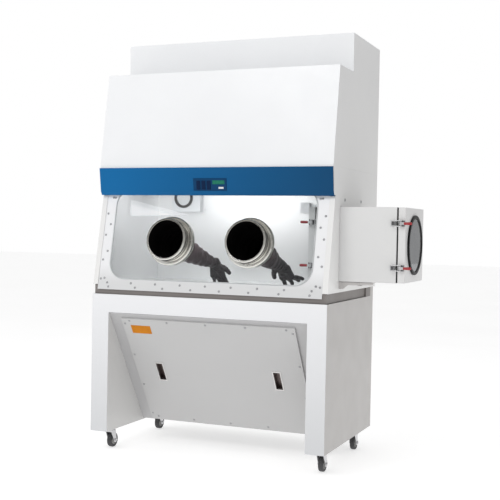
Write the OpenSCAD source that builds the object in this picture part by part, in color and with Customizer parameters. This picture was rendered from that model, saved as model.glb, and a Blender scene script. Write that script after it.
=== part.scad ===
// Laboratory glove box on a wheeled stand, millimetres.
// +X right, +Y to the back, +Z up. The origin is on the floor at the middle of
// the whole object's plan outline.

/* [Cabinet] */
// Overall width of the cabinet and the stand
body_w = 1250; // [1240:2:1260]
// Sheet thickness of the outer covers
sheet = 2; // [1.5:0.1:2.2]
// Height of the lower edge of the hood
hood_z = 1442; // [1440:1:1446]
// Height of the top of the sloping hood
hood_top = 1925; // [1900:5:1950]
// Height of the top of the filter housing
box_top = 2115; // [2100:5:2130]
// Front of the filter housing
box_y = 347; // [330:1:360]
// Depth of the upper cabinet
body_d = 825; // [815:1:830]

/* [Window] */
// Backward lean of the window in degrees
win_tilt = 11.1; // [10.8:0.1:11.4]
// Clear width of the window
win_w = 1089; // [1070:1:1095]
// Corner radius of the window
win_r = 90; // [60:5:100]
// Distance of each glove port from the middle
port_x = 211.5; // [205:0.5:216]
// Height of the glove ports
port_z = 1078; // [1070:1:1085]
// Inner radius of a glove port
port_r = 95; // [94:0.5:96]
// How far a glove port stands out from the window
port_len = 58; // [55:1:62]

/* [Stand] */
// Height of the underside of the stand
stand_z = 105; // [105:1:105]
// Height of the top of the stand
stand_top = 804; // [800:1:804]
// Depth of the stand
stand_d = 790; // [780:1:790]
// Width of each leg
leg_w = 95; // [90:1:100]
// Top of the knee opening
knee_top = 712; // [710:1:716]

/* [Pass box] */
// How far the pass box reaches from the middle of the cabinet
pass_x = 901; // [880:1:901]
// Front of the pass box
pass_y1 = 170; // [168:1:172]
// Back of the pass box
pass_y2 = 545; // [545:1:545]
// Underside of the pass box
pass_z1 = 904.5; // [903:0.5:906]
// Top of the pass box
pass_z2 = 1258.5; // [1257:0.5:1260]
// Thickness of the doors
door_t = 33; // [32:1:33]
// Radius of the round door window
door_win = 127; // [120:1:128]

/* [Casters] */
// Wheel radius
wheel_r = 37.5; // [37.5:0.5:37.5]
// Wheel width
wheel_w = 25; // [24:1:26]
// Distance from the swivel axis to the wheel axle
trail = 25; // [22:1:26]

/* [Hidden] */
$fn = 48;
// offset from the middle of the cabinet front to the origin
OX = 174.375;
OY = 400.248;
hw = body_w / 2;
iw = hw - leg_w;
ct = cos(win_tilt);
tt = tan(win_tilt);
bez_z = 828;
bez_y = 3;
// front of the window plane at a height
function wy(z) = bez_y + (z - bez_z) * tt;
// distance up the window plane of a height
function ws(z) = (z - bez_z) / ct;
port_s = ws(port_z);
knee_a = atan(0.62);
knee_y = 372.4;
hood_a = atan(75 / 483);
band_a = atan(20 / 136);
hood_y = 56;
pcy = (pass_y1 + pass_y2) / 2;
pcz = (pass_z1 + pass_z2) / 2;
lz_top = 1183;
lz_low = 976;
hinge_y = pass_y2 + 6;
outer_hx = pass_x + 4;
inner_x = 509;
inner_hx = inner_x - 4;
door_x = pass_x + 7.2;
idoor_x = inner_x - 7.2;
cast = [[-575, 110], [575, 110], [-575, 630], [575, 630]];
key_x = [-68, -40, -12];
white = "whitesmoke";
steel = "silver";

module at() { translate([-OX, -OY, 0]) children(); }
module bez() { translate([0, bez_y, bez_z]) rotate([90 - win_tilt, 0, 0]) children(); }
module kne() { translate([0, knee_y, stand_z]) rotate([90 + knee_a, 0, 0]) children(); }
module band() { translate([0, 68, 1306]) rotate([90 + band_a, 0, 0]) children(); }
module box(x1, x2, y1, y2, z1, z2) { translate([x1, y1, z1]) cube([x2 - x1, y2 - y1, z2 - z1]); }
module rr(w, h, r) {
  square([w - 2 * r, h], center = true);
  square([w, h - 2 * r], center = true);
  for (i = [-1, 1], j = [-1, 1]) translate([i * (w / 2 - r), j * (h / 2 - r)]) circle(r);
}
// extrude a (y, z) outline along x
module along_x(x1, x2) { translate([x1, 0, 0]) rotate([90, 0, 90]) linear_extrude(x2 - x1) children(); }
module xcyl(r, x1, x2, y, z) { translate([x1, y, z]) rotate([0, 90, 0]) cylinder(r = r, h = x2 - x1); }
module both() { children(); mirror([1, 0, 0]) children(); }

// ---------------------------------------------------------------- stand
module stand_front_frame() { color(white) at() {
  difference() {
    box(-hw, hw, 0, 2.5, stand_z, stand_top);
    box(-iw, iw, -1, 4, stand_z - 1, knee_top);
  }
  // folded lip over the knee opening
  box(-iw, iw, 2.5, 9, knee_top, knee_top + 2);
  // sloping frame that carries the knee panel
  kne() both() translate([iw - 68, 3, -12.5]) cube([67.7, 702, 2.5]);
  kne() translate([-iw + 68, 655, -12.5]) cube([2 * iw - 136, 50, 2.5]);
} }
module stand_side() {
  difference() {
    box(-hw, -iw, 2.7, stand_d - 2.7, stand_z, stand_top);
    box(-hw + sheet, -iw - sheet, 1, stand_d - 2.7 - sheet, stand_z + 4, stand_top + 1);
  }
  // ear that closes the rear end of the rail
  difference() {
    box(-hw, -iw, 735.3, stand_d - 2.7, stand_top - 0.5, 850.6);
    box(-hw + sheet, -iw + 1, 734, stand_d - 2.7 - sheet, stand_top - 1, 852);
  }
}
module stand_side_panels() { color(white) at() both() stand_side(); }
module rear_panels() { color("gainsboro") at() {
  difference() {
    box(-hw + 2.3, hw - 2.3, stand_d - 2.5, stand_d, stand_z, 850.6);
    for (i = [0:5], s = [-1, 1]) box(s * 260 - 110, s * 260 + 110, stand_d - 4, stand_d + 1, 560 + i * 22, 568 + i * 22);
  }
  difference() {
    box(-hw + 2.3, hw - 2.3, body_d - 2.3, body_d, 851, box_top - 2.3);
    for (i = [0:5], s = [-1, 1]) box(s * 300 - 120, s * 300 + 120, body_d - 4, body_d + 1, 1640 + i * 24, 1649 + i * 24);
  }
} }
module knee_panel() { color(white) at() kne() difference() {
  translate([-465, 14, -9.8]) cube([930, 666, 9.8]);
  translate([-463, 16, -10.8]) cube([926, 662, 8.8]);
  for (s = [-1, 1]) translate([s * 322 - 20, 296, -15]) cube([40, 110, 20]);
} }
module pull_cup() {
  difference() {
    union() {
      translate([-24, -60, 0.2]) cube([48, 120, 2]);
      translate([-19.7, -54.7, -28]) cube([39.4, 109.4, 28.4]);
    }
    translate([-17.5, -52.5, -26]) cube([35, 105, 40]);
  }
}
module pull_cups() { color(steel) at() kne() for (s = [-1, 1]) translate([s * 322, 351, 0]) pull_cup(); }
module rail(x1, x2, y1, y2) {
  difference() {
    box(x1, x2, y1, y2, stand_top + 0.3, 850.6);
    box(x1 + 3, x2 - 3, y1 + 3, y2 - 3, stand_top - 1, 847.6);
  }
}
module support_rails() { color("rosybrown") at() {
  rail(-hw + 8, hw - 8, 12, 60);
  both() rail(-hw + 8, -hw + 58, 60.3, 651.7);
  rail(-hw, hw, 652, 735);
} }

// ---------------------------------------------------------------- cabinet shell
module front_bezel() { color(white) at() bez() difference() {
  translate([-598, 0, -3]) cube([1196, 560, 3]);
  translate([0, ws(881) + 235, -5]) linear_extrude(8) rr(win_w, 470, win_r);
} }
module window_glass() { color("lightblue", 0.35) at() bez() difference() {
  translate([0, ws(881) + 235, -11.2]) linear_extrude(8) rr(1140, 510, 40);
  for (s = [-1, 1]) translate([s * port_x, port_s, -15]) cylinder(r = 104, h = 20);
} }
module frame_seal(x, t) {
  translate([x, 0, 0]) difference() {
    box(0, t, pass_y1 + 2, pass_y2 - 2, pass_z1 + 2, pass_z2 - 2);
    box(-1, t + 1, pass_y1 + 20, pass_y2 - 20, pass_z1 + 20, pass_z2 - 20);
  }
}
module rubber_seals() { color("dimgray") at() {
  bez() difference() {
    translate([0, ws(881) + 235, -3]) linear_extrude(4.5) rr(win_w - 0.6, 469.4, win_r - 0.3);
    translate([0, ws(881) + 235, -4]) linear_extrude(8) rr(win_w - 11, 459, win_r - 5.5);
  }
  frame_seal(pass_x + 0.2, 6.6);
  frame_seal(inner_x - 6.8, 6.6);
  for (s = [-1, 1], n = [23, 39]) bez() translate([s * port_x, port_s, n])
    rotate_extrude() translate([port_r + 8.55, 0]) circle(2, $fn = 24);
} }
screw_row = [for (k = [-4:4]) [k * 136.5, 862]];
screw_row2 = [for (k = [-3.5:1:3.5]) [k * 153.5, 841.5]];
screw_in = [for (i = [0:3], s = [-1, 1]) [s * 564.5, 884 + i * 136.3]];
screw_out = [for (z = [880, 976, 1102, 1211], s = [-1, 1]) [s * 585.5, z]];
module head() { cylinder(r1 = 5, r2 = 3.8, h = 2, $fn = 24); }
module panel_screws() { color("gray") at() {
  for (p = concat(screw_row, screw_row2, screw_in, screw_out)) bez() translate([p[0], ws(p[1]), 0.05]) head();
  for (s = [-1, 1]) bez() translate([s * 553, ws(1292), 0.05]) head();
  for (x = [-420:210:420], z = [36, 668]) kne() translate([x, z, 0.05]) head();
  for (s = [-1, 1], i = [0:3]) kne() translate([s * 450, 56 + i * 198, 0.05]) head();
  for (y = [247, 523]) {
    translate([hw + 0.05, y, 1293]) rotate([0, 90, 0]) head();
    translate([-hw - 0.05, y, 1293]) rotate([0, -90, 0]) head();
  }
} }
module side_outline() {
  polygon([[wy(851) + 1.5, 851], [wy(1309.6) + 1.5, 1309.6], [79.5, 1309.6], [70.2, 1325.6], [58.4, hood_z], [133.4, hood_top - 2.4],
    [box_y + 2.4, hood_top - 2.4], [box_y + 2.4, box_top - 2.4], [body_d, box_top - 2.4], [body_d, 851]]);
}
module side_panel(hole) {
  difference() {
    union() {
      along_x(hw - sheet, hw) side_outline();
      bez() translate([598.6, ws(852), -2.2]) cube([hw - 598.6, ws(1304) - ws(852), 4.2]);
    }
    along_x(hw - 0.8, hw + 1) translate([60, hood_z + 3]) square([800, 1.6]);
    if (hole) box(hw - 30, hw + 5, pass_y1 - 1.5, pass_y2 + 1.5, pass_z1 - 1.5, pass_z2 + 1.5);
  }
}
module left_side_panel() { color("gainsboro") at() mirror([1, 0, 0]) side_panel(false); }
module right_side_panel() { color("gainsboro") at() side_panel(true); }
module hood_cover() { color(white) at() along_x(-hw, hw)
  polygon([[hood_y, hood_z], [131, hood_top], [box_y, hood_top], [box_y, hood_top - 2], [132.6, hood_top - 2], [hood_y + 2.05, hood_z]]);
}
module top_box_cover() { color(white) at() difference() {
  along_x(-hw, hw)
    polygon([[box_y, hood_top + 0.2], [box_y, box_top], [body_d, box_top], [body_d, box_top - 2], [box_y + 2, box_top - 2], [box_y + 2, hood_top + 0.2]]);
  translate([0, 650, box_top - 10]) cylinder(r = 97, h = 20);
} }
module blue_fascia() { color("steelblue") at() difference() {
  along_x(-hw, hw)
    polygon([[48, hood_z], [65.3, 1324.5], [76, 1306], [92, 1306], [92, 1309], [78, 1309], [68.6, 1325], [51.5, hood_z - 3], [55.6, hood_z - 3], [55.6, hood_z]]);
  band() translate([-96, 22, -1]) cube([180, 62, 8]);
  band() for (x = key_x) translate([x - 10, 28, -10]) cube([20, 44, 30]);
} }
module display_panel() { color("navy") at() band() difference() {
  union() {
    translate([-95, 23, -0.8]) cube([178, 60, 2.3]);
    // raised display lens and a blank plate
    translate([6, 52, 1.5]) cube([70, 24, 0.8]);
    translate([40, 32, 1.5]) cube([28, 10, 0.8]);
  }
  for (x = key_x) translate([x - 10, 28, -10]) cube([20, 44, 30]);
} }
module key(x) { at() band() union() {
  translate([x - 9.6, 28.4, -3]) cube([19.2, 43.2, 6.8]);
  translate([x - 11.2, 26.8, -6]) cube([22.4, 46.4, 1.8]);
  translate([x - 9.6, 28.4, -4.4]) cube([19.2, 43.2, 2]);
} }
module key_left() { color("midnightblue") key(key_x[0]); }
module key_middle() { color("midnightblue") key(key_x[1]); }
module key_right() { color("midnightblue") key(key_x[2]); }

// ---------------------------------------------------------------- chamber
module plan(o) {
  translate([-560 - o, -20]) square([1120 + 2 * o, 400]);
  translate([-600 - o, 230 - o]) square([1200 + 2 * o, 420 + 2 * o]);
}
module behind_glass(d) { bez() translate([-700, -400, -11.5 - d - 1000]) cube([1400, 1400, 1000]); }
module chamber_liner() { color("lightgray") at() difference() {
  intersection() {
    translate([0, 0, 853]) linear_extrude(547) difference() { plan(2); plan(0); }
    behind_glass(0);
  }
  box(540, 640, pass_y1 - 1.5, pass_y2 + 1.5, pass_z1 - 1.5, pass_z2 + 1.5);
} }
module supply_diffuser() { color("lightgray") at() difference() {
  intersection() {
    translate([0, 0, 1400.2]) linear_extrude(2) plan(2);
    behind_glass(0);
  }
  for (i = [-4:4], j = [0:5]) box(i * 120 - 45, i * 120 + 45, 200 + j * 70, 212 + j * 70, 1395, 1410);
} }
module work_tray() { color(steel) at() intersection() {
  difference() {
    translate([0, 0, 853.2]) linear_extrude(5) plan(-0.4);
    translate([0, 0, 850]) linear_extrude(5.4) plan(-20);
  }
  behind_glass(0.5);
} }
module lamp_tube() { color("white") at() {
  xcyl(13, -440, 440, 190, 1372);
  for (s = [-1, 1]) box(s * 448 - 8, s * 448 + 8, 174, 206, 1355, 1400);
} }
module hepa_filters() { color("khaki") at() {
  box(-540, 540, 190, 640, 1403, 1470);
  difference() {
    box(-260, 260, 420, 790, 1990, 2060);
    box(-240, 240, 440, 770, 2045, 2061);
  }
} }
fan_y = 480;
fan_z = 1690;
module blower_housing() { color("darkgray") at() {
  difference() {
    union() {
      xcyl(150, -90, 90, fan_y, fan_z);
      box(-90, 90, fan_y, fan_y + 150, fan_z, fan_z + 280);
      for (s = [-1, 1]) box(s * 70 - 3, s * 70 + 3, fan_y - 120, fan_y + 120, 1470.2, fan_z);
    }
    xcyl(147, -87, 87, fan_y, fan_z);
    box(-87, 87, fan_y + 3, fan_y + 147, fan_z, fan_z + 290);
    xcyl(85, -100, 100, fan_y, fan_z);
  }
  // motor on three struts, with its shaft
  difference() {
    union() {
      xcyl(60, 96, 200, fan_y, fan_z);
      for (a = [90, 210, 330]) translate([0, fan_y, fan_z]) rotate([a, 0, 0]) translate([90.2, -8, 50]) cube([12, 16, 55]);
      xcyl(10, -40, 100, fan_y, fan_z);
    }
  }
} }
module impeller() { color("lightslategray") at() difference() {
  union() {
    xcyl(22, -40, 40, fan_y, fan_z);
    xcyl(120, -2, 2, fan_y, fan_z);
    for (a = [0:30:330]) translate([0, fan_y, fan_z]) rotate([a, 0, 0]) translate([-70, -1.5, 88]) cube([140, 3, 31]);
    for (s = [-1, 1]) difference() {
      xcyl(120, s * 68 - 2, s * 68 + 2, fan_y, fan_z);
      xcyl(88, s * 68 - 4, s * 68 + 4, fan_y, fan_z);
    }
  }
  xcyl(10.05, -60, 60, fan_y, fan_z);
} }
module exhaust_collar() { color(steel) at() translate([0, 650, box_top + 0.2]) difference() {
  union() {
    cylinder(r = 125, h = 2.5);
    cylinder(r = 100, h = 38);
  }
  translate([0, 0, -1]) cylinder(r = 97, h = 50);
} }

// ---------------------------------------------------------------- glove ports
module glove_ports() { color(steel) at() bez() for (s = [-1, 1]) translate([s * port_x, port_s, 0]) {
  rotate_extrude($fn = 96) polygon([[port_r, -60], [102, -60], [102, -3], [122.5, -3], [122.5, 5], [118, 9],
    [port_r + 9, 9], [port_r + 9, 20], [port_r + 6.5, 20], [port_r + 6.5, 26], [port_r + 9, 26],
    [port_r + 9, 36], [port_r + 6.5, 36], [port_r + 6.5, 42], [port_r + 9, 42], [port_r + 9, 48],
    [port_r + 10, 50], [port_r + 10, port_len - 3], [port_r + 7, port_len], [port_r + 2, port_len], [port_r, port_len - 2]]);
  rotate_extrude($fn = 96) polygon([[102.3, -22], [121, -22], [121, -11.4], [102.3, -11.4]]);
} }
// sleeve stations: centre and radius, from the port mouth to the wrist
left_arm = [[-211.5, 112, 1066, 84], [-203, 165, 1042, 68], [-170, 255, 990, 49], [-131, 335, 934, 41]];
right_arm = [[211.5, 112, 1066, 84], [216, 165, 1042, 68], [236, 260, 988, 49], [258, 348, 930, 42]];
// cone from one station to the next, shrunk by w
module limb(a, b, w) {
  d = [b[0] - a[0], b[1] - a[1], b[2] - a[2]];
  l = norm(d);
  translate([a[0], a[1], a[2]]) rotate([0, acos(d[2] / l), atan2(d[1], d[0])]) cylinder(r1 = a[3] - w, r2 = b[3] - w, h = l, $fn = 32);
}
module glove(p, s, yaw) {
  difference() {
    union() {
      bez() translate([s * port_x, port_s, -64]) cylinder(r = 93, h = port_len + 60);
      for (i = [0:2]) limb(p[i], p[i + 1], 0);
      for (i = [1:3]) translate([p[i][0], p[i][1], p[i][2]]) sphere(r = p[i][3] + 1.5, $fn = 32);
      translate([p[3][0], p[3][1], p[3][2]]) rotate([0, 0, yaw]) rotate([-38, 0, 0]) {
        translate([-42, -10, -17]) cube([84, 92, 32]);
        for (i = [0:3]) translate([-31.5 + i * 21, 76, -1]) rotate([-96, 0, 0]) cylinder(r1 = 10.2, r2 = 8.5, h = 30 - abs(i - 1.6) * 7, $fn = 24);
      }
    }
    // the arm's way in: through the port and on into the upper sleeve
    bez() translate([s * port_x, port_s, -61]) cylinder(r = 90.5, h = port_len + 80);
    limb([2 * p[0][0] - p[1][0], 2 * p[0][1] - p[1][1], 2 * p[0][2] - p[1][2], 82], [p[1][0], p[1][1], p[1][2], 62], 0);
    box(-600, 600, 0, 700, 700, 858.8);
  }
}
module glove_left() { color("dimgray") at() glove(left_arm, -1, -22); }
module glove_right() { color("dimgray") at() glove(right_arm, 1, -18); }

module rear_wall_fittings() { color(white) at() {
  // filtered inlet box with its round bezel
  difference() {
    union() {
      box(-497, -321, 612, 649.8, 1235, 1393);
      translate([-422, 612, 1312]) rotate([90, 0, 0]) cylinder(r = 56, h = 8);
    }
    translate([-422, 616, 1312]) rotate([90, 0, 0]) cylinder(r = 42, h = 20);
  }
  translate([-303, 649.8, 1250]) rotate([90, 0, 0]) cylinder(r = 7, h = 5);
  // electrical sockets
  box(262, 312, 628, 649.8, 1236, 1290);
  box(324, 355, 636, 649.8, 1252, 1280);
} }

// ---------------------------------------------------------------- pass box
module pass_box_body() { color("gainsboro") at() difference() {
  box(inner_x, pass_x, pass_y1, pass_y2, pass_z1, pass_z2);
  box(inner_x + 4, pass_x - 4, pass_y1 + 2, pass_y2 - 2, pass_z1 + 2, pass_z2 - 2);
  box(inner_x - 5, pass_x + 5, pass_y1 + 26, pass_y2 - 26, pass_z1 + 26, pass_z2 - 26);
} }
module pass_box_bracket() { color("gray") at() for (y = [176, 498]) {
  along_y(y, y + 4) polygon([[hw + 0.3, 868], [hw + 0.3, 902], [792, 902], [792, 892], [hw + 44, 888], [hw + 20, 868]]);
  box(hw + 0.3, 792, y + 4, y + 40, 900, 904.3);
  box(hw + 0.3, hw + 4.3, y + 4, y + 40, 868, 900);
  for (x = [645, 722]) translate([x, y - 4, 895]) rotate([-90, 0, 0]) cylinder(r = 5, h = 4, $fn = 6);
} }
// extrude an (x, z) outline along y
module along_y(y1, y2) { translate([0, y2, 0]) rotate([90, 0, 0]) linear_extrude(y2 - y1) children(); }
module door_slab(x) {
  difference() {
    box(x, x + door_t, pass_y1 + 1, pass_y2 - 1, pass_z1 + 1, pass_z2 - 1);
    box(x + 3, x + door_t - 3, pass_y1 + 4, pass_y2 - 4, pass_z1 + 4, pass_z2 - 4);
    xcyl(door_win + 7, x - 5, x + door_t + 5, pcy, pcz);
  }
}
module hinge_half(moving, s) {
  // s = 1: the moving leaf lies towards +X
  zs = [-30, -10, 10, 30];
  difference() {
    union() {
      if (moving) {
        box(8, 33, -6.8, -4.3, -30, 30);
        box(0, 9, -6, -4.3, -9.7, 9.7);
        translate([0, 0, -9.7]) cylinder(r = 6, h = 19.4);
      } else {
        box(-45, -8, -5.8, -3.3, -30, 30);
        for (z = [-30, 10]) {
          box(-9, 0, -5.8, -3.8, z, z + 20);
          translate([0, 0, z]) cylinder(r = 6, h = 20);
        }
      }
    }
    translate([0, 0, -40]) cylinder(r = moving ? 3.05 : 2.9, h = 80);
  }
  if (!moving) translate([0, 0, -32]) cylinder(r = 3, h = 64);
}
hinge_z = [975, 1188];
module outer_door() { color(white) at() {
  door_slab(door_x);
  for (z = hinge_z) translate([outer_hx, hinge_y, z]) hinge_half(true);
} }
module inner_door() { color(white) at() {
  difference() {
    box(idoor_x - door_t, idoor_x, pass_y1 + 1, pass_y2 - 1, pass_z1 + 1, pass_z2 - 1);
    box(idoor_x - door_t + 3, idoor_x + 5, pass_y1 + 22, pass_y2 - 22, pass_z1 + 22, pass_z2 - 22);
  }
  for (z = hinge_z) translate([inner_hx, hinge_y, z]) mirror([1, 0, 0]) hinge_half(true);
} }
module hinge_leaves() { color(steel) at() for (z = hinge_z) {
  translate([outer_hx, hinge_y, z]) hinge_half(false);
  translate([inner_hx, hinge_y, z]) mirror([1, 0, 0]) hinge_half(false);
} }
module outer_door_ring() { color("black") at() translate([door_x, pcy, pcz]) rotate([0, 90, 0]) rotate_extrude($fn = 96) {
  translate([door_win, 4]) square([6.7, door_t - 3.8]);
  translate([door_win, door_t + 0.2]) square([16, 4]);
  translate([door_win + 8, door_t + 4.2]) intersection() { circle(8, $fn = 48); translate([-20, 0]) square([40, 4.8]); }
} }
module outer_door_glass() { color("lightblue", 0.4) at() {
  xcyl(door_win - 0.3, door_x + 14, door_x + 20, pcy, pcz);
  // outer pane of the double glazing
  translate([door_x + door_t + 0.8, pcy, pcz]) rotate([0, 90, 0]) rotate_extrude($fn = 96)
    polygon([[0, 0], [door_win - 0.3, 0], [door_win - 0.3, 2.4], [door_win - 1.3, 3.4], [0, 3.4]]);
} }

// ---------------------------------------------------------------- latches
// drawn about the lever pivot, closed, with the grip towards +X
module base_shape() {
  difference() {
    union() {
      box(-8, 18, 7.2, 10.8, -14, 14);
      for (s = [-1, 1]) {
        translate([0, 0, s * 9.3 - 1]) cylinder(r = 5.6, h = 2);
        box(-5.6, 5.6, 0, 8, s * 9.3 - 1, s * 9.3 + 1);
      }
    }
    translate([0, 0, -20]) cylinder(r = 2.4, h = 40);
  }
  translate([0, 0, -11]) cylinder(r = 2.5, h = 22);
}
module lever_shape() {
  difference() {
    union() {
      translate([0, 0, -8]) cylinder(r = 4.6, h = 16);
      translate([4, -7, -8]) cylinder(r = 3.6, h = 16);
      box(0, 22, -9.5, -4, -6, 6);
      box(-2, 5, -8, 2, -7.9, 7.9);
    }
    translate([0, 0, -20]) cylinder(r = 2.55, h = 40);
    translate([4, -7, -20]) cylinder(r = 1.7, h = 40);
  }
  translate([4, -7, -16]) cylinder(r = 1.8, h = 32);
  // grip
  translate([20, -7.5, 0]) rotate([0, 90, 0]) cylinder(r = 5.8, h = 30);
  translate([50, -7.5, 0]) sphere(r = 5.8);
}
module hook_shape() {
  difference() {
    union() {
      for (s = [-1, 1]) {
        translate([4, -7, s * 13 - 2.2]) cylinder(r = 3.8, h = 4.4);
        translate([-42, -7, s * 13]) rotate([0, 90, 0]) cylinder(r = 1.6, h = 44, $fn = 24);
      }
      translate([-42, -7, -15.4]) cylinder(r = 2.4, h = 30.8);
    }
    translate([4, -7, -20]) cylinder(r = 1.85, h = 40);
  }
}
module strike_shape() {
  difference() {
    box(-42, -20, -3.9, 9.8, -9, 9);
    box(-36, -28, -10, 4, -20, 20);
  }
}
module outer_latch(z) { at() translate([920, 160, z]) children(); }
module inner_latch(z) { at() translate([490, 160, z]) mirror([1, 0, 0]) children(); }
module latch_strikes() { color("dimgray") for (z = [lz_top, lz_low]) {
  outer_latch(z) strike_shape();
  inner_latch(z) strike_shape();
} }
module latch_bases_outer() { color("dimgray") for (z = [lz_top, lz_low]) outer_latch(z) base_shape(); }
module latch_bases_inner() { color("dimgray") for (z = [lz_top, lz_low]) inner_latch(z) base_shape(); }
module lever_outer_top() { color("firebrick") outer_latch(lz_top) lever_shape(); }
module lever_outer_low() { color("firebrick") outer_latch(lz_low) lever_shape(); }
module lever_inner_top() { color("firebrick") inner_latch(lz_top) lever_shape(); }
module lever_inner_low() { color("firebrick") inner_latch(lz_low) lever_shape(); }
module hook_outer_top() { color(steel) outer_latch(lz_top) hook_shape(); }
module hook_outer_low() { color(steel) outer_latch(lz_low) hook_shape(); }
module hook_inner_top() { color(steel) inner_latch(lz_top) hook_shape(); }
module hook_inner_low() { color(steel) inner_latch(lz_low) hook_shape(); }

// ---------------------------------------------------------------- casters
module caster_plates() { color(steel) at() for (c = cast) translate([c[0], c[1], 0]) {
  box(-36, 36, -36, 36, stand_z - 3.2, stand_z - 0.2);
  translate([0, 0, stand_z - 9]) cylinder(r = 24, h = 6);
  translate([0, 0, 84]) cylinder(r = 6, h = 14);
} }
module fork(brake) {
  difference() {
    union() {
      translate([0, 0, 86]) cylinder(r = 26, h = 9.5);
      for (s = [-1, 1]) along_x(s * 17.5 - 1.5, s * 17.5 + 1.5)
        polygon([[-18, 92], [26, 92], [trail + 12, wheel_r - 8], [trail + 6, wheel_r - 13], [trail - 6, wheel_r - 13], [trail - 12, wheel_r - 8]]);
    }
    translate([0, 0, 80]) cylinder(r = 6.06, h = 30);
    xcyl(5.9, -30, 30, trail, wheel_r);
  }
  xcyl(6, -21, 21, trail, wheel_r);
  if (brake) box(-16, 16, 27, 30, 84, 92);
}
module wheel() {
  difference() {
    union() {
      xcyl(24, -wheel_w / 2, wheel_w / 2, trail, wheel_r);
      xcyl(12, -15.5, 15.5, trail, wheel_r);
    }
    xcyl(6.06, -30, 30, trail, wheel_r);
  }
  // tyre
  difference() {
    union() {
      xcyl(wheel_r, -wheel_w / 2 + 3, wheel_w / 2 - 3, trail, wheel_r);
      xcyl(wheel_r - 2.5, -wheel_w / 2, wheel_w / 2, trail, wheel_r);
    }
    xcyl(24.15, -30, 30, trail, wheel_r);
  }
}
module pedal() {
  difference() {
    union() {
      along_x(-14, 14) polygon([[32, 80], [36, 76], [62, 84], [62, 88], [44, 86], [32, 84]]);
      xcyl(4.5, -14, 14, 36, 82);
    }
    xcyl(2.05, -30, 30, 36, 82);
  }
}
module pedal_pin() { xcyl(2, -20, 20, 36, 82); for (s = [-1, 1]) along_x(s * 17.5 - 1.5, s * 17.5 + 1.5) polygon([[20, 92], [40, 86], [40, 78], [20, 70]]); }
module caster(i) { at() translate([cast[i][0], cast[i][1], 0]) children(); }
module fork_front_left() { color(steel) caster(0) fork(false); }
module fork_front_right() { color(steel) caster(1) fork(false); }
module fork_rear_left() { color(steel) caster(2) { fork(false); pedal_pin(); } }
module fork_rear_right() { color(steel) caster(3) { fork(false); pedal_pin(); } }
module wheel_front_left() { color("dimgray") caster(0) wheel(); }
module wheel_front_right() { color("dimgray") caster(1) wheel(); }
module wheel_rear_left() { color("dimgray") caster(2) wheel(); }
module wheel_rear_right() { color("dimgray") caster(3) wheel(); }
module pedal_rear_left() { color("dimgray") caster(2) pedal(); }
module pedal_rear_right() { color("dimgray") caster(3) pedal(); }

stand_front_frame();
stand_side_panels();
rear_panels();
knee_panel();
pull_cups();
support_rails();
front_bezel();
window_glass();
rubber_seals();
panel_screws();
left_side_panel();
right_side_panel();
hood_cover();
top_box_cover();
blue_fascia();
display_panel();
key_left();
key_middle();
key_right();
chamber_liner();
supply_diffuser();
work_tray();
lamp_tube();
hepa_filters();
blower_housing();
impeller();
exhaust_collar();
glove_ports();
glove_left();
glove_right();
rear_wall_fittings();
pass_box_body();
pass_box_bracket();
outer_door();
outer_door_ring();
outer_door_glass();
inner_door();
hinge_leaves();
latch_strikes();
latch_bases_outer();
latch_bases_inner();
lever_outer_top();
lever_outer_low();
lever_inner_top();
lever_inner_low();
hook_outer_top();
hook_outer_low();
hook_inner_top();
hook_inner_low();
caster_plates();
fork_front_left();
fork_front_right();
fork_rear_left();
fork_rear_right();
wheel_front_left();
wheel_front_right();
wheel_rear_left();
wheel_rear_right();
pedal_rear_left();
pedal_rear_right();
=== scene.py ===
import bpy
import bmesh
import math
import random
from mathutils import Matrix, Vector, noise


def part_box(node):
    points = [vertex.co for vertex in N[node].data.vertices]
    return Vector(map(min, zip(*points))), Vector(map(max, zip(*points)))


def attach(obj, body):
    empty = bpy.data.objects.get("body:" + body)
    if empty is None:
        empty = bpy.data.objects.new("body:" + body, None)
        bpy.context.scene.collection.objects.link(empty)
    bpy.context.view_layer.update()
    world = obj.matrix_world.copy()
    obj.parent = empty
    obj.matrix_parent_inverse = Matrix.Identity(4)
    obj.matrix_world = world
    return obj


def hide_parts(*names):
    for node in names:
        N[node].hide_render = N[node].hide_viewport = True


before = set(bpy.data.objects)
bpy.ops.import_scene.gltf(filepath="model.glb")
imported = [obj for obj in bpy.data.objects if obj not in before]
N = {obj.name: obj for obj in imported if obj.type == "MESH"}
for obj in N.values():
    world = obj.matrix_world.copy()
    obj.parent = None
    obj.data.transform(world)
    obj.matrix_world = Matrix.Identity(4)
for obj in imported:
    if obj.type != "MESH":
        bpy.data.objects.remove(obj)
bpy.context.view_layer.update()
random.seed(7)

# the middle of the cabinet's front, on the floor, in the row frame
_a, _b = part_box("stand_front_frame")
CX = (_a.x + _b.x) / 2
CY = _a.y


def P(x, y, z):
    return Vector((x + CX, y + CY, z))


# ------------------------------------------------------------------ camera
yaw, pitch, roll = math.radians(22.6074), math.radians(-1.2048), math.radians(1.0682)
fwd = Vector((-math.sin(yaw) * math.cos(pitch), math.cos(yaw) * math.cos(pitch), math.sin(pitch)))
right = fwd.cross(Vector((0, 0, 1))).normalized()
up = right.cross(fwd)
r2 = right * math.cos(roll) + up * math.sin(roll)
u2 = -right * math.sin(roll) + up * math.cos(roll)
cam_data = bpy.data.cameras.new("cam")
cam_data.sensor_width = 36
cam_data.lens = 962.88 / 500 * 36
cam_data.clip_end = 100
cam = bpy.data.objects.new("cam", cam_data)
bpy.context.scene.collection.objects.link(cam)
m = Matrix((r2, u2, -fwd)).transposed().to_4x4()
m.translation = P(1.9895, -4.207, 1.1414)
cam.matrix_world = m
bpy.context.scene.camera = cam


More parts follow.
